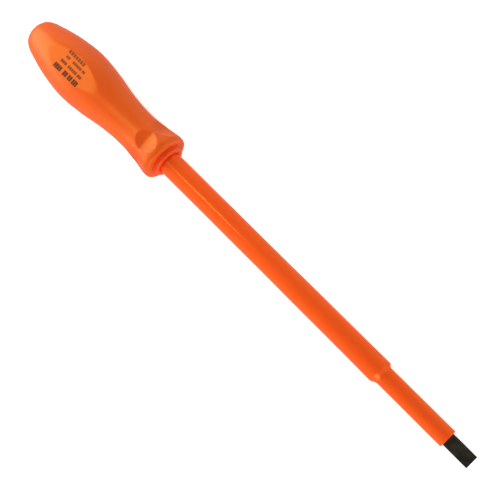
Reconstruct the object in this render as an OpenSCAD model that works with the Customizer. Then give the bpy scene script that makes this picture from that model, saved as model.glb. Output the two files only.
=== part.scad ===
// Insulated slotted screwdriver, in millimetres.
// The origin is the centre of the blade tip's end face. +X points out of the tip along the tool's axis,
// so the handle lies at negative x. +Z is up, square to the blade's flats and to the label flat.
// Every "_at" value is a distance behind the tip's end face.

/* [Blade] */
// Diameter of the round bar, and the width of its parallel tip
bar_d = 7; // [6:0.1:7.4]
// Thickness of the tip at its end
tip_t = 1.2; // [0.8:0.1:1.6]
// Length of the parallel land at the end of the tip
land_len = 2; // [1:0.5:4]
// Distance behind the tip where the ground flats run out into the round bar
runout_at = 20; // [16:0.5:30]
// Length of bare steel in front of the insulation
bare_len = 14.3; // [10:0.1:15]
// Distance behind the tip of the tang's end
tang_end_at = 262; // [250:1:275]
// Width across the two wings pressed into the tang
wing_w = 12; // [9:0.5:14]
// Thickness of the wings
wing_t = 2.6; // [2:0.1:4]

/* [Insulation] */
// Outer diameter of the thin insulation next to the tip
thin_d = 9.64; // [9.2:0.02:10.2]
// Outer diameter of the thick insulation
thick_d = 12.2; // [11.8:0.1:12.8]
// Wall of the contrasting inner layer
inner_wall = 0.6; // [0.4:0.05:0.8]
// Distance behind the tip where the shoulder starts
shoulder_at = 53.9; // [40:0.1:80]
// Length of the shoulder along the axis
shoulder_len = 3; // [2:0.2:5]
// Wall of the outer skin over the spacer tube
skin_wall = 0.7; // [0.5:0.05:0.9]
// Diameter of the insulation where it is seated in the collar and the handle
seat_d = 11.8; // [11.5:0.1:11.8]
// Length of the skin's lip that closes over the inner layer's front end
lip_len = 1.2; // [0.8:0.1:2]

/* [Nose collar] */
// Outer diameter of the collar's barrel
collar_d = 17.4; // [15:0.1:18]
// How far the collar stands out in front of the handle's rim
collar_out = 2.7; // [1.5:0.1:4]
// Diameter of the flange that locks the collar inside the handle
flange_d = 19.4; // [18.6:0.2:19.8]

/* [Handle] */
// Distance behind the tip of the handle's front rim
rim_at = 205; // [190:0.2:215]
// Length of the handle from its rim to its rounded end
handle_len = 102.5; // [98:0.1:108]
// Radius of the flare just behind the rim
flare_r = 12.85; // [12.45:0.1:13.35]
// Radius of the waist behind the finger dimples
waist_r = 10.75; // [10.6:0.05:11.4]
// Radius of the palm swell
palm_r = 15.35; // [14.8:0.05:15.8]
// Height of the label flat above the axis
flat_h = 13.48; // [13.3:0.02:14]
// Number of finger dimples
dimple_n = 6; // [5:1:6]
// Radius from the axis to the valley of a finger dimple
valley_r = 9.8; // [9.6:0.05:10.6]

/* [Print] */
// Thickness of the printed ink
ink_t = 0.08; // [0.05:0.01:0.12]

/* [Hidden] */
$fn = 96;

orange = [0.95, 0.4, 0.12];
steel_black = [0.12, 0.11, 0.1];
over = 1; // how far a cutter runs past a face

bar_r = bar_d / 2;
inner_r = bar_r + inner_wall;
thin_r = thin_d / 2;
thick_r = thick_d / 2;
seat_r = seat_d / 2;
spacer_r = thick_r - skin_wall;
spacer_front_at = shoulder_at + shoulder_len * 0.9;
insulation_end_at = rim_at + 11.4;
collar_edge = 0.6; // rounding of the collar's front edge
edge_r = 0.45; // rounding of the insulation's front edge
seat_gap = 0.4; // how far in front of the collar the insulation narrows to its seat

collar_front_at = rim_at - collar_out;
flange_front_at = rim_at + 5;
core_front_at = rim_at + 7.4;

wing_front_at = rim_at + 20;
wing_len = 14;
wing_slope = 3; // length over which a wing rises out of the bar

palm_at = rim_at + 0.637 * handle_len;
// A dimple is scooped by a wheel with a vee edge, whose axle is parallel to the tool's axis
valley_at = rim_at + 10.3;
wheel_r = 26;
wheel_len = 10; // from its edge to either side
front_slope = 0.41; // fall of the wheel's radius towards the tip: it just nicks the flare's crest
rear_slope = 0.23; // and towards the handle's end

// Handle outline from the flare back: [fraction of the handle's length, radius]
handle_stations = [
    [0.0156, flare_r - 0.07],
    [0.0293, flare_r],
    [0.115, 11.57],
    [0.222, waist_r],
    [0.353, 11.63],
    [0.5, 14.1],
    [0.637, palm_r],
    [0.768, 14.1],
    [0.885, 11.55],
    [0.974, 8.05],
    [1, 0],
];
// The rim's face is flat out to this radius, then rounds over into the flare
rim_face_r = 11.6;

// Core outline: [distance behind the core's front face, radius]
core_stations = [[0, 8.4], [15, 8.1], [32, 9.3], [50, 11.6], [60, 12], [72, 10.9], [82, 8], [86.5, 4.5], [88, 0]];
rib_t = 2.4;
rib_r = 12.7;

// Printed rows, front (tip) end to rear end along x and across the flat along y, from the flat's centre:
// each row is [y of its middle, height of its blocks, [[x of the block's middle, block length], ...]]
print_rows = [
    [5.4, 1.9, [for (i = [0:6]) [3.9 - 1.75 * i, 1.25]]],
    [2.5, 1.4, [[6.6, 1.9], [1.6, 6.2], [-5.2, 2.4]]],
    [-0.7, 1.5, [[6.6, 2.8], [1.2, 6.4], [-5.4, 4.2]]],
    [-4.5, 2.7, [[7, 3.4], [3.2, 2.6], [-0.4, 2.8], [-6.2, 5.2]]],
];

// Smooth curve through a list of points. The ghost points before and after the list, first and last,
// set the directions in which it leaves and arrives.
function spline_point(a, b, c, d, t) =
    b + (c - a) * t / 2 + (2 * a - 5 * b + 4 * c - d) * t * t / 2 + (3 * b - a - 3 * c + d) * t * t * t / 2;
function spline(points, first, last, steps) = let (p = concat([first], points, [last]))
    concat([for (i = [1:len(points) - 1], s = [0:steps - 1])
        spline_point(p[i - 1], p[i], p[i + 1], p[i + 2], s / steps)], [points[len(points) - 1]]);
function mirrored(p) = [p[0], -p[1]];

// Turns an outline of [distance behind the tip, radius] about the tool's axis
module turned(outline) {
    rotate([0, -90, 0]) rotate_extrude() polygon([for (p = outline) [p[1], p[0]]]);
}

// Tube between two distances behind the tip
module tube(from_at, to_at, outer_r, hole_r) {
    translate([-from_at, 0, 0]) rotate([0, -90, 0]) difference() {
        cylinder(h = to_at - from_at, r = outer_r);
        translate([0, 0, -over]) cylinder(h = to_at - from_at + 2 * over, r = hole_r);
    }
}

module rod(from_at, to_at, r) {
    translate([-from_at, 0, 0]) rotate([0, -90, 0]) cylinder(h = to_at - from_at, r = r);
}

// Everything above the ground flat of the tip, on the +Z side
module flat_cutter() {
    rotate([90, 0, 0]) linear_extrude(height = 2 * bar_d, center = true) polygon([
        [over, tip_t / 2],
        [-land_len, tip_t / 2],
        [-runout_at, bar_r],
        [-runout_at, bar_d],
        [over, bar_d],
    ]);
}

// One wing, on the +Y side, that keys the tang in the core
module wing() {
    rear_at = wing_front_at + wing_len;
    linear_extrude(height = wing_t, center = true) polygon([
        [-rear_at, 0],
        [-rear_at, bar_r],
        [-rear_at + wing_slope, wing_w / 2],
        [-wing_front_at - wing_slope, wing_w / 2],
        [-wing_front_at, bar_r],
        [-wing_front_at, 0],
    ]);
}

module tang() {
    rod(insulation_end_at, tang_end_at, bar_r);
    wing();
    mirror([0, 1, 0]) wing();
}

module blade() {
    color(steel_black) difference() {
        union() {
            rod(0, insulation_end_at + over, bar_r);
            tang();
        }
        flat_cutter();
        mirror([0, 0, 1]) flat_cutter();
    }
}

module inner_sleeve() {
    color("ivory") tube(bare_len + lip_len, insulation_end_at, inner_r, bar_r);
}

module spacer_tube() {
    color("goldenrod") tube(spacer_front_at, insulation_end_at, spacer_r, inner_r);
}

// Outline of the skin's outside: rounded front edge, thin part, concave foot, rounded shoulder, thick part
skin_outside = concat(
    [for (a = [90:-22.5:0]) [bare_len + edge_r * (1 - sin(a)), thin_r - edge_r * (1 - cos(a))]],
    [for (t = [0:0.125:1]) [shoulder_at + shoulder_len * t, thin_r + (thick_r - thin_r) * (3 - 2 * t) * t * t]],
    [
        [collar_front_at - 2 * seat_gap, thick_r],
        [collar_front_at - seat_gap, seat_r],
        [insulation_end_at, seat_r],
    ]
);

module outer_skin() {
    color(orange) turned(concat(skin_outside, [
        [insulation_end_at, spacer_r],
        [spacer_front_at, spacer_r],
        [spacer_front_at, inner_r],
        [bare_len + lip_len, inner_r],
        [bare_len + lip_len, bar_r],
        [bare_len, bar_r],
    ]));
}

module nose_collar() {
    collar_r = collar_d / 2;
    color(orange) turned(concat(
        [[collar_front_at, seat_r]],
        [for (a = [90:-22.5:0])
            [collar_front_at + collar_edge * (1 - sin(a)), collar_r - collar_edge * (1 - cos(a))]],
        [
            [flange_front_at, collar_r],
            [flange_front_at, flange_d / 2],
            [core_front_at, flange_d / 2],
            [core_front_at, seat_r],
        ]
    ));
}

// The core with its four keying ribs, before it is hollowed
module core_body() {
    first = core_stations[0];
    last = core_stations[len(core_stations) - 2];
    points = spline(core_stations, [-first[0] - 15, first[1]], mirrored(last), 4);
    turned(concat([[core_front_at, 0]], [for (p = points) [core_front_at + p[0], p[1]]]));
    for (a = [45:90:315]) rotate([a, 0, 0])
        translate([-palm_at - 12, -rib_t / 2, 0]) cube([24, rib_t, rib_r]);
}

module handle_core() {
    color("firebrick") difference() {
        core_body();
        rod(core_front_at - over, insulation_end_at, seat_r);
        tang();
    }
}

module handle_outside() {
    last = handle_stations[len(handle_stations) - 2];
    stations = [for (s = handle_stations) [rim_at + s[0] * handle_len, s[1]]];
    flare = stations[0];
    front = [for (a = [0:18:72]) [
        flare[0] - (flare[0] - rim_at) * cos(a),
        rim_face_r + (flare[1] - rim_face_r) * sin(a),
    ]];
    rear = spline(stations, [flare[0] - 1, flare[1]], mirrored([rim_at + last[0] * handle_len, last[1]]), 4);
    turned(concat([[rim_at, 0]], front, rear));
}

module dimple_cutter() {
    translate([-valley_at, 0, valley_r + wheel_r]) {
        rotate([0, 90, 0]) cylinder(h = wheel_len, r1 = wheel_r, r2 = wheel_r - front_slope * wheel_len);
        rotate([0, -90, 0]) cylinder(h = wheel_len, r1 = wheel_r, r2 = wheel_r - rear_slope * wheel_len);
    }
}

module grip_shell() {
    color(orange) difference() {
        handle_outside();
        for (side = [0, 1]) mirror([0, 0, side])
            translate([-rim_at - handle_len, -palm_r - over, flat_h])
                cube([handle_len, 2 * (palm_r + over), palm_r]);
        for (i = [0:dimple_n - 1]) rotate([i * 360 / dimple_n, 0, 0]) dimple_cutter();
        rod(rim_at - over, core_front_at, collar_d / 2);
        rod(flange_front_at, core_front_at, flange_d / 2);
        core_body();
    }
}

module print_row(i) {
    row = print_rows[i];
    color(steel_black) for (block = row[2])
        translate([-palm_at + block[0] - block[1] / 2, row[0] - row[1] / 2, flat_h])
            cube([block[1], row[1], ink_t]);
}

module print_row_1() print_row(0);
module print_row_2() print_row(1);
module print_row_3() print_row(2);
module print_row_4() print_row(3);

blade();
inner_sleeve();
spacer_tube();
outer_skin();
nose_collar();
handle_core();
grip_shell();
print_row_1();
print_row_2();
print_row_3();
print_row_4();
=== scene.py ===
"""Insulated slotted screwdriver: the grip, collar, insulation skin, blade and print as finished meshes.

The tool's axis is the row's X axis and the tip's end is at x = 0, so the handle lies at negative x.
"behind" always means a distance behind the tip's end, in metres. Angles round the tool start at +Y and
turn towards +Z, so the label flat is at 90 degrees.
"""
import math

import bmesh
import bpy
import numpy as np
from mathutils import Matrix, Vector


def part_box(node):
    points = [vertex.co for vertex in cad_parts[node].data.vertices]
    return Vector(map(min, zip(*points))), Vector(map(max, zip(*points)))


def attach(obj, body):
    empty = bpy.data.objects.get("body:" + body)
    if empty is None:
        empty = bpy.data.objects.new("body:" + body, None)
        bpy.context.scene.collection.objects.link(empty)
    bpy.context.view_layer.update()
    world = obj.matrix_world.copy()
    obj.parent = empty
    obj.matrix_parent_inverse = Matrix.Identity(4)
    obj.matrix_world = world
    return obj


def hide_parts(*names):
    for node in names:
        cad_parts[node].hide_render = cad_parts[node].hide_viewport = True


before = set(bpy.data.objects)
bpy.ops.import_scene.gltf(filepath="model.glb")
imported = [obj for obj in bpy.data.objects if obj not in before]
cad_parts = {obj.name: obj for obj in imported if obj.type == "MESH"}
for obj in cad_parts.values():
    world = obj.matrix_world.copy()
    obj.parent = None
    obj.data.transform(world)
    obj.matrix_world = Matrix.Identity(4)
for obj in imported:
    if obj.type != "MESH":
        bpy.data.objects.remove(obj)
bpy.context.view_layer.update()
MM = 0.001

# ---------------------------------------------------------------- sizes taken from the frame
SHELL_LOW, SHELL_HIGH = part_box("grip_shell")
COLLAR_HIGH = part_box("nose_collar")[1]
SKIN_LOW, SKIN_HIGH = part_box("outer_skin")
SPACER_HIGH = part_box("spacer_tube")[1]
SLEEVE_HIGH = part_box("inner_sleeve")[1]
BLADE_LOW, BLADE_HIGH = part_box("blade")
CORE_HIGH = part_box("handle_core")[1]

RIM = -SHELL_HIGH[0]  # behind the tip, as are all the places below
HANDLE_LEN = SHELL_HIGH[0] - SHELL_LOW[0]
FLAT_HEIGHT = SHELL_HIGH[2]
CORE_FRONT = -CORE_HIGH[0]
COLLAR_FRONT = -COLLAR_HIGH[0]
FLANGE_R = COLLAR_HIGH[2]
INSULATION_END = -SKIN_LOW[0]
BARE = -SKIN_HIGH[0]
THICK_R = SKIN_HIGH[2]
SPACER_FRONT = -SPACER_HIGH[0]
SPACER_R = SPACER_HIGH[2]
SLEEVE_FRONT = -SLEEVE_HIGH[0]
SLEEVE_R = SLEEVE_HIGH[2]
BAR_R = BLADE_HIGH[2]
WING_R = BLADE_HIGH[1]
TANG_END = -BLADE_LOW[0]

# ---------------------------------------------------------------- the design's other sizes, in metres
FLARE_R = 12.85 * MM
WAIST_R = 10.75 * MM
PALM_R = 15.34 * MM
FLARE = 0.0293  # places along the handle, as fractions of its length from the rim: the flare's crest
PALM = 0.637  # and the palm swell
PALM_AT = RIM + PALM * HANDLE_LEN
RIM_FACE_R = 11.6 * MM  # where the rim's flat face ends and rounds over into the flare
COLLAR_R = 8.7 * MM
FLANGE_FRONT = RIM + 5 * MM  # the flange holds the collar in the grip
SEAT_R = 5.9 * MM  # of the insulation inside the handle
THIN_R = 4.82 * MM
SHOULDER = 53.9 * MM
SHOULDER_LEN = 3 * MM
TIP_HALF = 0.6 * MM  # half the tip's thickness
LAND = 2 * MM  # the tip's flats are parallel up to here
RUNOUT = 20 * MM  # and have run out into the round bar here
WING_FRONT = RIM + 20 * MM
WING_LEN = 14 * MM
WING_SLOPE = 3 * MM
WING_T = 2.6 * MM

# Handle outline from the flare back: (fraction of the handle's length, radius)
HANDLE_STATIONS = [
    (0.0156, FLARE_R - 0.07 * MM),
    (FLARE, FLARE_R),
    (0.115, 11.57 * MM),
    (0.222, WAIST_R),
    (0.353, 11.63 * MM),
    (0.5, 14.1 * MM),
    (PALM, PALM_R),
    (0.768, 14.1 * MM),
    (0.885, 11.55 * MM),
    (0.974, 8.05 * MM),
    (1, 0),
]
# Core outline: (distance behind the core's front face, radius), in millimetres
CORE_STATIONS = [
    (0, 8.4),
    (15, 8.1),
    (32, 9.3),
    (50, 11.6),
    (60, 12),
    (72, 10.9),
    (82, 8),
    (86.5, 4.5),
    (88, 0),
]

RIB_T = 2.4 * MM
RIB_R = 12.7 * MM
RIB_HALF = 12 * MM  # how far the core's ribs run to either side of the palm swell

# The finger dimples, and the vee-edged wheel that scoops them
DIMPLES = 6
VALLEY = RIM + 10.3 * MM
VALLEY_R = 9.8 * MM
WHEEL_R = 26 * MM
# On either side of the valley: how far the dimple reaches, and the slope of its floor
FRONT_REACH, FRONT_SLOPE = 7.3 * MM, 0.41
REAR_REACH, REAR_SLOPE = 6 * MM, 0.23


# ---------------------------------------------------------------- curves
def spline_point(a, b, c, d, t):
    """The point at t, from 0 to 1, of a Catmull-Rom curve between b and c."""
    bend = (2 * a - 5 * b + 4 * c - d) * t * t / 2
    twist = (3 * b - a - 3 * c + d) * t**3 / 2
    return b + (c - a) * t / 2 + bend + twist


def spline(points, before, after, steps):
    """Smooth curve through the points; the ghost points before and after set its end directions."""
    p = [np.array(q, float) for q in [before, *points, after]]
    curve = [
        spline_point(p[i - 1], p[i], p[i + 1], p[i + 2], s / steps)
        for i in range(1, len(points))
        for s in range(steps)
    ]
    return np.array(curve + [p[-2]])


def relaxed(curve, rounds):
    """The curve with its bends eased, its ends held."""
    curve = curve.copy()
    for _ in range(rounds):
        curve[1:-1] += (curve[:-2] + curve[2:] - 2 * curve[1:-1]) / 4
    return curve


def evenly(curve, step):
    """The curve with points a fixed distance apart."""
    along = np.concatenate([[0], np.cumsum(np.hypot(*np.diff(curve, axis=0).T))])
    count = max(2, int(round(along[-1] / step)) + 1)
    places = np.linspace(0, along[-1], count)
    return np.stack([np.interp(places, along, curve[:, k]) for k in (0, 1)], axis=1)


def corner(before, at, after, radius, steps=5):
    """A rounded corner of an outline, as points from one side to the other."""
    before, at, after = (np.array(p, float) for p in (before, at, after))
    start = at + (before - at) / np.linalg.norm(before - at) * radius
    end = at + (after - at) / np.linalg.norm(after - at) * radius
    t = np.linspace(0, 1, steps + 1)[:, None]
    return (1 - t) ** 2 * start + 2 * t * (1 - t) * at + t**2 * end


def outline(points):
    """An outline from (behind, radius, rounding) points, with each corner rounded by its rounding."""
    made = [np.array([points[0][:2]])]
    for before, at, after in zip(points, points[1:], points[2:]):
        if at[2]:
            made.append(corner(before[:2], at[:2], after[:2], at[2]))
        else:
            made.append(np.array([at[:2]]))
    made.append(np.array([points[-1][:2]]))
    return np.vstack(made)


# ---------------------------------------------------------------- meshes
POLE_SIZE = 1e-7  # metres: a ring smaller than this closes to one point
LEAST = 1e-6  # the least sine or cosine to divide by


def ring_mesh(name, rings, loop=False):
    """A closed mesh from rings of points, each (columns, 3). A ring of no size is a pole.

    With loop=True the last ring joins the first, as on a tube with a hole through it.
    """
    verts, index = [], []
    for ring in rings:
        first, pole = len(verts), np.ptp(ring, axis=0).max() < POLE_SIZE
        index.append([first] * len(ring) if pole else list(range(first, first + len(ring))))
        verts.extend([ring.mean(axis=0)] if pole else list(ring))
    faces = []
    pairs = list(zip(index, index[1:])) + ([(index[-1], index[0])] if loop else [])
    for a, b in pairs:
        for i in range(len(a)):
            j = (i + 1) % len(a)
            face = [a[i], a[j], b[j], b[i]]
            face = [v for k, v in enumerate(face) if v not in face[:k]]
            if len(face) > 2:
                faces.append(face)
    mesh = bpy.data.meshes.new(name)
    mesh.from_pydata([tuple(v) for v in verts], [], faces)
    mesh.validate()
    return mesh


def make(name, mesh, material, slot, *nodes):
    """Puts a mesh in the scene as a piece that rides on the tool and stands for its CAD node."""
    piece = bpy.data.objects.new(name, mesh)
    bpy.context.scene.collection.objects.link(piece)
    mesh.materials.append(material)
    outward(mesh)
    mesh.shade_smooth()
    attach(piece, "root")
    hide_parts(*nodes)


def outward(mesh):
    """Turns every face outwards."""
    work = bmesh.new()
    work.from_mesh(mesh)
    bmesh.ops.recalc_face_normals(work, faces=work.faces)
    work.to_mesh(mesh)
    work.free()


def turned(points, columns, radius_at=None, shift_at=None):
    """Rings of points from an outline of (behind, radius) turned about the axis.

    radius_at(behind, radius, angle) changes a ring's shape, and shift_at(behind, angle) moves its points
    forwards.
    """
    angle = np.linspace(0, 2 * math.pi, columns, endpoint=False)
    rings = []
    for behind, radius in points:
        r = radius_at(behind, radius, angle) if radius_at else np.full(columns, radius)
        x = -behind + (shift_at(behind, angle) if shift_at else 0)
        rings.append(np.stack([x + 0 * angle, r * np.cos(angle), r * np.sin(angle)], axis=1))
    return rings


def soft_min(a, b, blend):
    """The smaller of two radii, with the edge between them rounded over about blend."""
    h = np.maximum(blend - np.abs(a - b), 0) / blend
    return np.minimum(a, b) - h * h * blend / 4


# ---------------------------------------------------------------- grip shell
GRIP_COLUMNS = 320
DIMPLED_LEN = 21 * MM  # the front part of the grip, which has the finer rings
FINE_STEP = 0.25 * MM
COARSE_STEP = 0.55 * MM
FLAT_EDGE = 0.28 * MM  # how far the edge of a flat, a dimple or a dimple's valley is rounded over
DIMPLE_EDGE = 0.2 * MM
VALLEY_ROUND = 0.4 * MM
NOT_SCOOPED = 1  # metres: a radius so large that it cuts nothing
CREASE = 0.5  # how much of a dimple's slope is straight; the rest curves, so that its ends are round
MOUTH_EDGE = 0.3 * MM
SLOT_PLAY = 0.1 * MM  # between the core's ribs and the sides of their slots


def flats(r, angle):
    """The label flat on top and its match underneath."""
    reach = FLAT_HEIGHT / np.maximum(np.abs(np.sin(angle)), LEAST)
    return soft_min(r, reach, FLAT_EDGE)


def dimples(behind, r, angle):
    """The finger dimples, scooped by a vee-edged wheel whose axle is parallel to the tool's."""
    centre = VALLEY_R + WHEEL_R
    away = math.hypot(behind - VALLEY, VALLEY_ROUND)
    reach, slope = (REAR_REACH, REAR_SLOPE) if behind > VALLEY else (FRONT_REACH, FRONT_SLOPE)
    wheel = max(0.0, WHEEL_R - slope * (CREASE * away + (1 - CREASE) * away**2 / reach))
    for k in range(DIMPLES):
        turn = angle - math.pi / 2 - k * 2 * math.pi / DIMPLES
        turn = (turn + math.pi) % (2 * math.pi) - math.pi
        inside = wheel**2 - (centre * np.sin(turn)) ** 2
        near = (np.abs(turn) < math.pi / DIMPLES * 1.5) & (inside > 0)
        scooped = np.where(near, centre * np.cos(turn) - np.sqrt(np.maximum(inside, 0)), NOT_SCOOPED)
        r = soft_min(r, scooped, DIMPLE_EDGE)
    return r


def grip_outside():
    """Outline from the rounded end forward to the edge of the rim's flat face."""
    stations = [(RIM + f * HANDLE_LEN, r) for f, r in HANDLE_STATIONS]
    nearest = stations[-2]
    flare_at, flare_r = stations[0]
    rear = spline(stations, (flare_at - MM, flare_r), (nearest[0], -nearest[1]), 40)
    rear = relaxed(evenly(rear, 0.2 * MM), 20)
    quarter = np.linspace(0, math.pi / 2, 12)[:-1]
    front = np.stack([
        flare_at - (flare_at - RIM) * np.cos(quarter),
        RIM_FACE_R + (flare_r - RIM_FACE_R) * np.sin(quarter),
    ], axis=1)
    curve = np.vstack([front, rear])
    dimpled = curve[:, 0] < RIM + DIMPLED_LEN
    fine, coarse = evenly(curve[dimpled], FINE_STEP), evenly(curve[~dimpled], COARSE_STEP)
    return np.vstack([fine[:-1], coarse])[::-1]


def grip_inside():
    """Outline from the rim's flat face back through the collar's pocket and the core's cavity."""
    mouth = outline([
        (RIM, RIM_FACE_R - 0.3 * MM, 0),
        (RIM, COLLAR_R, MOUTH_EDGE),
        (FLANGE_FRONT, COLLAR_R, 0),
        (FLANGE_FRONT, FLANGE_R, 0),
        (CORE_FRONT, FLANGE_R, 0),
    ])
    core = [(CORE_FRONT + d * MM, r * MM) for d, r in CORE_STATIONS]
    before = (core[0][0] - 15 * MM, core[0][1])
    after = (core[-2][0], -core[-2][1])
    cavity = spline(core, before, after, 6)
    # two more rings at each end of the rib slots, so that the slots end squarely
    reaches = [RIB_HALF + play for play in (SLOT_PLAY / 2, SLOT_PLAY)]
    ends = [PALM_AT + side * reach for side in (-1, 1) for reach in reaches]
    extra = np.stack([ends, np.interp(ends, cavity[:, 0], cavity[:, 1])], axis=1)
    cavity = np.vstack([cavity, extra])
    return np.vstack([mouth, cavity[np.argsort(cavity[:, 0], kind="stable")]])


def rib_slots(behind, r, angle):
    """The cavity with its four slots for the core's ribs."""
    turn = angle % (math.pi / 2) - math.pi / 4
    along_rib = abs(behind - PALM_AT) < RIB_HALF + 0.8 * SLOT_PLAY
    in_slot = (np.abs(np.sin(turn)) * RIB_R < RIB_T / 2 + SLOT_PLAY) & along_rib
    return np.where(in_slot, (RIB_R + SLOT_PLAY / 2) / np.cos(turn), r)


def grip_radius(behind, radius, angle):
    """The grip's outside: a turned shape with its flats and dimples cut into it."""
    return dimples(behind, flats(np.full(len(angle), radius), angle), angle)


def grip_mesh():
    outside = turned(grip_outside(), GRIP_COLUMNS, grip_radius)
    return ring_mesh("grip", outside + turned(grip_inside(), GRIP_COLUMNS, rib_slots))


# ---------------------------------------------------------------- nose collar
COLLAR_COLUMNS = 192


def collar_mesh():
    """The collar: a flange inside the grip, and a ring that fills its mouth and stands proud of it."""
    points = outline([
        (CORE_FRONT, SEAT_R, 0),
        (COLLAR_FRONT + 0.6 * MM, SEAT_R, 0.2 * MM),
        (COLLAR_FRONT, SEAT_R + 0.7 * MM, 0.3 * MM),
        (COLLAR_FRONT - 0.15 * MM, COLLAR_R, 1.2 * MM),
        (FLANGE_FRONT, COLLAR_R, 0),
        (FLANGE_FRONT, FLANGE_R, 0),
        (CORE_FRONT, FLANGE_R, 0),
    ])
    return ring_mesh("collar", turned(points, COLLAR_COLUMNS), loop=True)


# ---------------------------------------------------------------- insulation skin
SKIN_COLUMNS = 160
SKIN_EDGE = 0.45 * MM  # rounding of the front edge, which the tool rests on
CREST_LEAN = 0.8 * MM  # how far the shoulder's crest leans forwards at +Y and backwards at -Y
FOOT_LEAN = -0.35 * MM  # and its foot, which leans the other way
SWELL = 0.1 * MM  # the swelling behind the crest
SWELL_LEAN = 0.06 * MM  # how much fuller it is at -Y, and slimmer at +Y
SWELL_LEN = 9 * MM
FADE_LEN = 6 * MM  # swelling and unevenness fade out over this, in front of the collar


def skin_shift(behind, angle):
    """The shoulder's slight lean, gone a few millimetres either side of it."""
    lean = np.interp(
        behind - SHOULDER,
        [-6 * MM, 0, SHOULDER_LEN, SHOULDER_LEN + 8 * MM],
        [0, FOOT_LEAN, CREST_LEAN, 0],
    )
    return lean * np.cos(angle)


def skin_radius(behind, radius, angle):
    """The thick layer's soft swelling behind the shoulder and its faint unevenness along the tube."""
    if behind < SHOULDER:
        return np.full(len(angle), radius)
    thick = (radius - THIN_R) / (THICK_R - THIN_R)
    past = behind - SHOULDER - SHOULDER_LEN
    swell = (SWELL - SWELL_LEAN * np.cos(angle)) * math.exp(-((max(past, 0) / SWELL_LEN) ** 2))
    uneven = 0.02 * MM * math.sin(past / (17 * MM)) + 0.015 * MM * math.sin(past / (7.3 * MM) + 1)
    oval = 0.015 * MM * np.cos(2 * angle + past / (60 * MM))
    fade = min(1, max(0, (COLLAR_FRONT - behind) / FADE_LEN))
    return radius + thick * (swell + uneven + oval) * fade


def straight(start, end, count, radius):
    """A straight part of an outline, at one radius."""
    return np.stack([np.linspace(start, end, count), np.full(count, radius)], axis=1)


def skin_mesh():
    """The insulation's skin: its outside, and the steps inside it for the layers that it covers."""
    quarter = np.linspace(math.pi / 2, 0, 7)
    front = np.stack([
        BARE + SKIN_EDGE * (1 - np.sin(quarter)),
        THIN_R - SKIN_EDGE * (1 - np.cos(quarter)),
    ], axis=1)
    t = np.linspace(0, 1, 22)
    ease = t * t * (3 - 2 * t)
    shoulder = np.stack([SHOULDER + SHOULDER_LEN * t, THIN_R + (THICK_R - THIN_R) * ease], axis=1)
    thin = straight(BARE + 2 * SKIN_EDGE, SHOULDER - 0.3 * MM, 60, THIN_R)
    start, end = SHOULDER + SHOULDER_LEN + 0.3 * MM, COLLAR_FRONT - 0.8 * MM
    thick = straight(start, end, int((end - start) / MM), THICK_R)
    rest = np.array([
        (COLLAR_FRONT - 0.4 * MM, SEAT_R),
        (INSULATION_END, SEAT_R),
        (INSULATION_END, SPACER_R),
        (SPACER_FRONT, SPACER_R),
        (SPACER_FRONT, SLEEVE_R),
        (SLEEVE_FRONT, SLEEVE_R),
        (SLEEVE_FRONT, BAR_R),
        (BARE, BAR_R),
    ])
    covered = np.vstack([front, thin, shoulder, thick])
    outside = turned(covered, SKIN_COLUMNS, skin_radius, skin_shift)
    return ring_mesh("skin", outside + turned(rest, SKIN_COLUMNS), loop=True)


# ---------------------------------------------------------------- blade
TIP_BEVEL = 0.07 * MM
ALMOST = 0.99999  # a section's flats stay this much short of its sides, so that neither has no length


def flat_half(behind):
    """Half the thickness between the ground flats."""
    rise = max(0.0, behind - LAND) / (RUNOUT - LAND)
    return min(TIP_HALF + (BAR_R - TIP_HALF) * rise, BAR_R)


def blade_ring(behind, half, shrink=0.0, side_points=13, flat_points=20):
    """Section of the bar between its flats: a side arc, a flat, the other arc, the other flat."""
    r, half = BAR_R - shrink, max(half - shrink, 0.01 * MM)
    half = min(half, r * ALMOST)
    lean = math.asin(half / r)
    arc = np.linspace(-lean, lean, side_points)
    side = np.stack([r * np.cos(arc), r * np.sin(arc)], axis=1)
    across = np.linspace(1, -1, flat_points + 2)[1:-1] * r * math.cos(lean)
    top = np.stack([across, np.full(flat_points, half)], axis=1)
    section = np.vstack([side, top, -side, -top])
    return np.column_stack([np.full(len(section), -behind), section])


def tang_ring(behind, count):
    """Section of the tang: the bar, with two wings where they are pressed out."""
    into = min(behind - WING_FRONT, WING_FRONT + WING_LEN - behind)
    wing = BAR_R + (WING_R - BAR_R) * min(1, max(0, into) / WING_SLOPE)
    bar = blade_ring(behind, BAR_R)
    angle = np.arctan2(bar[:, 2], bar[:, 1])
    cos, sin = np.maximum(np.abs(np.cos(angle)), LEAST), np.maximum(np.abs(np.sin(angle)), LEAST)
    wide = np.minimum(wing / cos, WING_T / 2 / sin)
    r = np.maximum(BAR_R, wide) if into > 0 else np.full(count, BAR_R)
    return np.column_stack([bar[:, 0], r * np.cos(angle), r * np.sin(angle)])


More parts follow.
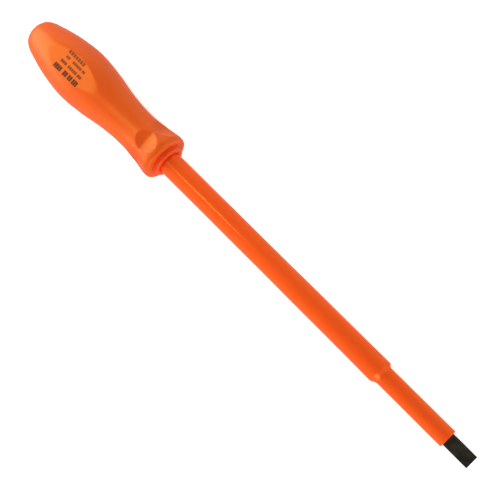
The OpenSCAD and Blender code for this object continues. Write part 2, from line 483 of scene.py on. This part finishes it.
def blade_mesh():
    """The whole bar, from the middle of the tip's end to the middle of the tang's."""
    tip = [
        blade_ring(0, TIP_HALF, 0.9 * TIP_HALF),
        blade_ring(0, TIP_HALF, TIP_BEVEL),
        blade_ring(TIP_BEVEL, TIP_HALF),
    ]
    along = list(np.linspace(0.3 * MM, LAND, 6)) + list(np.linspace(LAND, RUNOUT, 60)[1:])
    ground = [blade_ring(b, flat_half(b)) for b in along]
    count = len(ground[0])
    bar = [blade_ring(b, BAR_R) for b in np.linspace(RUNOUT + 2 * MM, WING_FRONT - MM, 30)]
    winged = np.linspace(WING_FRONT - 0.5 * MM, WING_FRONT + WING_LEN + 0.5 * MM, 40)
    tang = [tang_ring(b, count) for b in winged]
    end = [blade_ring(TANG_END - MM, BAR_R), blade_ring(TANG_END, BAR_R, MM)]
    rings = tip + ground + bar + tang + end
    middle = [np.tile([-b, 0, 0], (count, 1)) for b in (0, TANG_END)]
    return ring_mesh("blade_bar", [middle[0]] + rings + [middle[1]])


# ---------------------------------------------------------------- print
INK_EDGE = 0.12 * MM  # rounding of a cell's corners
INK_CELL = 1.15  # millimetres: a row's blocks are cut into cells of about this length, a gap apart
INK_GAP = 0.26  # millimetres
LABEL_X = -PALM_AT
# Each row: y of its middle, height of its blocks, [(x of the block's middle, block length), ...],
# in millimetres from the label's middle
PRINT_ROWS = [
    (5.4, 1.9, [(3.9 - 1.75 * i, 1.25) for i in range(7)]),
    (2.5, 1.4, [(6.6, 1.9), (1.6, 6.2), (-5.2, 2.4)]),
    (-0.7, 1.5, [(6.6, 2.8), (1.2, 6.4), (-5.4, 4.2)]),
    (-4.5, 2.7, [(7, 3.4), (3.2, 2.6), (-0.4, 2.8), (-6.2, 5.2)]),
]


def cells(blocks):
    """The blocks cut into short cells with gaps between them."""
    cut = []
    for x, length in blocks:
        count = max(1, round((length + INK_GAP) / (INK_CELL + INK_GAP)))
        pitch = (length + INK_GAP) / count
        cut += [(x + (i - (count - 1) / 2) * pitch, pitch - INK_GAP) for i in range(count)]
    return cut


def print_mesh(name, row, low, high):
    """Blocks of ink with rounded corners, as thick as the CAD film."""
    y, height, blocks = row
    quadrants = [(1, 1), (-1, 1), (-1, -1), (1, -1)]
    verts, faces = [], []
    for x, length in cells(blocks):
        first = len(verts)
        cx, cy = LABEL_X + x * MM, y * MM
        hx, hy = length * MM / 2 - INK_EDGE, height * MM / 2 - INK_EDGE
        rim = [
            (cx + sx * hx + INK_EDGE * math.cos(a), cy + sy * hy + INK_EDGE * math.sin(a))
            for quadrant, (sx, sy) in enumerate(quadrants)
            for a in np.linspace(quadrant * math.pi / 2, (quadrant + 1) * math.pi / 2, 5)
        ]
        n = len(rim)
        verts += [(px, py, z) for z in (low, high) for px, py in rim]
        faces.append([first + i for i in reversed(range(n))])
        faces.append([first + n + i for i in range(n)])
        for i in range(n):
            a, b = first + i, first + (i + 1) % n
            faces.append([a, b, b + n, a + n])
    mesh = bpy.data.meshes.new(name)
    mesh.from_pydata(verts, [], faces)
    return mesh


# ---------------------------------------------------------------- materials
class Nodes:
    """A node material in the making."""

    def __init__(self, name):
        self.material = bpy.data.materials.new(name)
        self.material.use_nodes = True
        self.tree = self.material.node_tree
        self.shader = self.tree.nodes["Principled BSDF"]
        self.place = self.add("ShaderNodeTexCoord").outputs["Object"]

    def add(self, kind, **inputs):
        """A new node, with the values of some of its inputs."""
        node = self.tree.nodes.new(kind)
        for key, value in inputs.items():
            node.inputs[key.replace("_", " ")].default_value = value
        return node

    def link(self, a, b):
        self.tree.links.new(a, b)

    def noise(self, scale, detail=3.0, roughness=0.5, stretch=(1, 1, 1)):
        """Noise with scale cells to the metre, drawn out along the axes where stretch is below 1."""
        mapping = self.add("ShaderNodeMapping", Scale=stretch)
        self.link(self.place, mapping.inputs["Vector"])
        noise = self.add("ShaderNodeTexNoise", Scale=scale, Detail=detail, Roughness=roughness)
        self.link(mapping.outputs["Vector"], noise.inputs["Vector"])
        return noise.outputs["Fac"]

    def ramp(self, fac, stops):
        """A colour from a list of (place, colour) stops."""
        ramp = self.add("ShaderNodeValToRGB")
        self.link(fac, ramp.inputs["Fac"])
        elements = ramp.color_ramp.elements
        while len(elements) < len(stops):
            elements.new(0.5)
        for element, (at, color) in zip(elements, stops):
            element.position = at
            element.color = (*color, 1)
        return ramp.outputs["Color"]

    def spread(self, fac, low, high):
        """A value from low to high, as fac goes from 0 to 1."""
        node = self.add("ShaderNodeMapRange", To_Min=low, To_Max=high)
        self.link(fac, node.inputs["Value"])
        return node.outputs["Result"]

    def bump(self, height, strength, distance, under=None):
        """A bumped normal, on top of the normal under it."""
        bump = self.add("ShaderNodeBump", Strength=strength, Distance=distance)
        self.link(height, bump.inputs["Height"])
        if under:
            self.link(under, bump.inputs["Normal"])
        return bump.outputs["Normal"]

    def set(self, **sockets):
        """Sets inputs of the shader, each to a value or to another node's output."""
        for key, value in sockets.items():
            socket = self.shader.inputs[key.replace("_", " ")]
            if hasattr(value, "is_output"):
                self.link(value, socket)
            else:
                socket.default_value = value


def moulded_plastic(name, dark, light, gloss=0.33, flow=(1, 1, 1)):
    """Semi-gloss moulded plastic: faint flow marks, a fine grain and highlights in its own colour."""
    n = Nodes(name)
    cloud = n.noise(38, 3, 0.55, flow)
    color = n.ramp(cloud, [(0.3, dark), (0.7, light)])
    smear = n.noise(90, 4, 0.6, flow)
    fine = n.noise(900, 2, 0.5)
    ripple = n.bump(n.noise(120, 2, 0.5, flow), 0.12, 0.12 * MM)
    n.set(
        Base_Color=color,
        Roughness=n.spread(smear, gloss - 0.06, gloss + 0.07),
        Normal=n.bump(fine, 0.06, 0.02 * MM, ripple),
        Specular_IOR_Level=0.4,
        Specular_Tint=(1, 0.85, 0.1, 1),
    )
    return n.material


def black_steel(name):
    """Black-oxide steel: cross-ground lines, with brown and green stains."""
    n = Nodes(name)
    stain = n.noise(260, 4, 0.6)
    oxide, brown, green = (0.011, 0.009, 0.006), (0.032, 0.025, 0.015), (0.04, 0.042, 0.022)
    color = n.ramp(stain, [(0.3, oxide), (0.55, brown), (0.75, green)])
    lines = n.noise(1100, 3, 0.7, (1, 0.06, 1))
    n.set(
        Base_Color=color,
        Metallic=0.55,
        Roughness=n.spread(stain, 0.42, 0.6),
        Normal=n.bump(lines, 0.35, 0.02 * MM),
    )
    return n.material


def ink(name, color):
    """Pad-printed ink, worn thin in specks."""
    n = Nodes(name)
    worn = n.noise(2600, 3, 0.6)
    under = (0.7, 0.12, 0.015)  # the orange that shows through
    thin = tuple(0.55 * c + 0.45 * o for c, o in zip(color, under))
    n.set(
        Base_Color=n.ramp(worn, [(0.42, color), (0.68, thin)]),
        Roughness=n.spread(worn, 0.55, 0.7),
        Normal=n.bump(worn, 0.1, 0.01 * MM),
        Specular_IOR_Level=0.15,
    )
    return n.material


def hidden_plastic(name, dark, light):
    """Plastic of an inner layer: matt, a little mottled."""
    n = Nodes(name)
    n.set(
        Base_Color=n.ramp(n.noise(150, 3, 0.5, (0.2, 1, 1)), [(0.3, dark), (0.7, light)]),
        Roughness=0.6,
        Normal=n.bump(n.noise(700), 0.15, 0.03 * MM),
    )
    return n.material


GRIP = moulded_plastic("grip plastic", (0.75, 0.085, 0.011), (0.79, 0.099, 0.014))
SKIN = moulded_plastic(
    "insulation plastic", (0.95, 0.096, 0.012), (0.98, 0.109, 0.014), gloss=0.16, flow=(0.25, 1, 1)
)
COLLAR = moulded_plastic("collar plastic", (0.86, 0.074, 0.014), (0.9, 0.087, 0.016), gloss=0.3)
STEEL = black_steel("black steel")
INK_COLORS = [(0.2, 0.042, 0.01), (0.22, 0.048, 0.011), (0.19, 0.04, 0.01), (0.05, 0.014, 0.005)]

# ---------------------------------------------------------------- pieces
SHARP = math.radians(32)  # an edge that turns more than this is shaded as sharp
GRIP_SHARP = math.radians(60)  # the grip's own edges are softer

make("grip", grip_mesh(), GRIP, "grip_orange", "grip_shell")
make("collar", collar_mesh(), COLLAR, "collar_orange", "nose_collar")
make("skin", skin_mesh(), SKIN, "insulation_orange", "outer_skin")
make("blade_bar", blade_mesh(), STEEL, "blade_steel", "blade")
for i, (row, color) in enumerate(zip(PRINT_ROWS, INK_COLORS), start=1):
    low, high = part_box(f"print_row_{i}")
    mesh = print_mesh(f"print_{i}", row, low[2], high[2])
    make(f"print_{i}", mesh, ink(f"ink {i}", color), "ink", f"print_row_{i}")
for piece in ("blade_bar", "skin", "collar", "print_1", "print_2", "print_3", "print_4"):
    bpy.data.objects[piece].data.set_sharp_from_angle(angle=SHARP)
bpy.data.objects["grip"].data.set_sharp_from_angle(angle=GRIP_SHARP)

# The inner layers stay as the CAD has them, with a material each
for node, material in {
    "inner_sleeve": hidden_plastic("inner layer", (0.78, 0.74, 0.6), (0.86, 0.83, 0.72)),
    "spacer_tube": hidden_plastic("spacer plastic", (0.72, 0.4, 0.06), (0.82, 0.5, 0.1)),
    "handle_core": hidden_plastic("core plastic", (0.42, 0.035, 0.015), (0.52, 0.05, 0.02)),
}.items():
    for material_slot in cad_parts[node].material_slots:
        material_slot.material = material

# ---------------------------------------------------------------- floor, light and camera
LENS, SENSOR = 72, 36  # millimetres
DISTANCE = 480.4 * MM
AIM = 141.2 * MM  # the point of the axis that the camera faces, behind the tip
ASIDE = 2.55 * MM  # how far to the side of the axis the camera looks
LEAN = math.radians(15.5)  # how far towards the tip the camera leans from square to the axis
TURN = math.radians(4)  # how far round the tool it is from straight over the label
ROLL = math.radians(44.89)  # slope of the tool in the view

axis = Vector((1, 0, 0))
over_label = Vector((0, math.sin(TURN), math.cos(TURN)))
back = math.sin(LEAN) * axis + math.cos(LEAN) * over_label
along = (axis - math.sin(LEAN) * back) / math.cos(LEAN)
across = back.cross(along)
right = math.cos(ROLL) * along + math.sin(ROLL) * across
up = back.cross(right)
camera = bpy.data.objects.new("camera", bpy.data.cameras.new("camera"))
camera.data.lens = LENS
camera.data.sensor_width = SENSOR
camera.data.clip_start = 0.01
place = Vector((-AIM, 0, 0)) - ASIDE * across + DISTANCE * back
turn = Matrix((right, up, back)).transposed()
camera.matrix_world = Matrix.Translation(place) @ turn.to_4x4()
bpy.context.scene.collection.objects.link(camera)
bpy.context.scene.camera = camera

# The tool rests on the flare and on the front edge of the insulation, so the floor passes under both
REST_FRONT = Vector((-(BARE + SKIN_EDGE), 0, -THIN_R))
REST_REAR = Vector((-(RIM + FLARE * HANDLE_LEN), 0, -FLARE_R))
FLOOR_HALF = 2.0
FLOOR_GAP = 0.05 * MM  # under the tool
floor_mesh = bpy.data.meshes.new("floor")
corners = [(x * FLOOR_HALF, y * FLOOR_HALF, 0) for x, y in [(-1, -1), (1, -1), (1, 1), (-1, 1)]]
floor_mesh.from_pydata(corners, [], [(0, 1, 2, 3)])
floor = bpy.data.objects.new("floor", floor_mesh)
slope = REST_FRONT - REST_REAR
floor.matrix_world = (
    Matrix.Translation((REST_FRONT + REST_REAR) / 2 - Vector((0, 0, FLOOR_GAP)))
    @ slope.to_track_quat("X", "Z").to_matrix().to_4x4()
)
paper = Nodes("paper")
paper.set(
    Base_Color=paper.ramp(paper.noise(3, 2), [(0.3, (0.9, 0.9, 0.9)), (0.7, (0.93, 0.93, 0.93))]),
    Roughness=0.9,
    Emission_Color=(1, 1, 1, 1),
    Emission_Strength=0.65,
)
floor_mesh.materials.append(paper.material)
bpy.context.scene.collection.objects.link(floor)
floor.visible_glossy = False  # its glare would hide the plastic's colour along the tool's edges


def softbox(name, at, towards, size, power):
    """A rectangular soft light; both points are in metres, size is across and along its height."""
    light = bpy.data.lights.new(name, "AREA")
    light.shape = "RECTANGLE"
    light.size, light.size_y = size
    light.energy = power
    lamp = bpy.data.objects.new(name, light)
    facing = (Vector(at) - Vector(towards)).to_track_quat("Z", "Y").to_matrix().to_4x4()
    lamp.matrix_world = Matrix.Translation(at) @ facing
    bpy.context.scene.collection.objects.link(lamp)


HANDLE = (-0.26, 0, 0)
LABEL = (LABEL_X, 0, FLAT_HEIGHT)
MIDDLE = (-AIM, 0, 0)
softbox("key", (-0.64, -0.07, 0.22), HANDLE, (0.4, 0.32), 1.65)
softbox("near_side", (-0.72, -0.5, 0.25), HANDLE, (0.4, 0.4), 1.3)
softbox("label", (-0.57, -0.04, 0.53), LABEL, (0.2, 0.2), 0.6)
softbox("sparkle", (-0.5, -0.18, 0.95), (-0.2, 0, 0), (0.08, 0.08), 0.55)
softbox("tip_side", (0.52, -0.66, 0.34), MIDDLE, (0.6, 0.6), 5.2)
softbox("far_side", (-0.8, 0.66, 0.34), MIDDLE, (0.6, 0.6), 0.6)
softbox("tip_far_side", (0.3, 0.66, 0.4), MIDDLE, (0.6, 0.6), 1.8)

# The world's light comes mostly from a soft band over the horizon; the camera sees it as plain white
world = bpy.data.worlds.new("studio")
world.use_nodes = True
sky = world.node_tree
direction = sky.nodes.new("ShaderNodeTexCoord")
split = sky.nodes.new("ShaderNodeSeparateXYZ")
dusk = sky.nodes.new("ShaderNodeValToRGB")
sky.links.new(direction.outputs["Generated"], split.inputs["Vector"])
sky.links.new(split.outputs["Z"], dusk.inputs["Fac"])
backdrop = sky.nodes.new("ShaderNodeMix")
backdrop.data_type = "RGBA"
backdrop.inputs["B"].default_value = (1, 1, 1, 1)
sky.links.new(sky.nodes.new("ShaderNodeLightPath").outputs["Is Camera Ray"], backdrop.inputs["Factor"])
sky.links.new(dusk.outputs["Color"], backdrop.inputs["A"])
sky.links.new(backdrop.outputs["Result"], sky.nodes["Background"].inputs["Color"])
dusk.color_ramp.elements.new(0.5)
for element, at, level in zip(dusk.color_ramp.elements, (0, 0.15, 0.95), (0.35, 0.75, 0)):
    element.position = at
    element.color = (level, level, level, 1)
sky.nodes["Background"].inputs["Strength"].default_value = 1
bpy.context.scene.world = world
bpy.context.scene.view_settings.view_transform = "Standard"
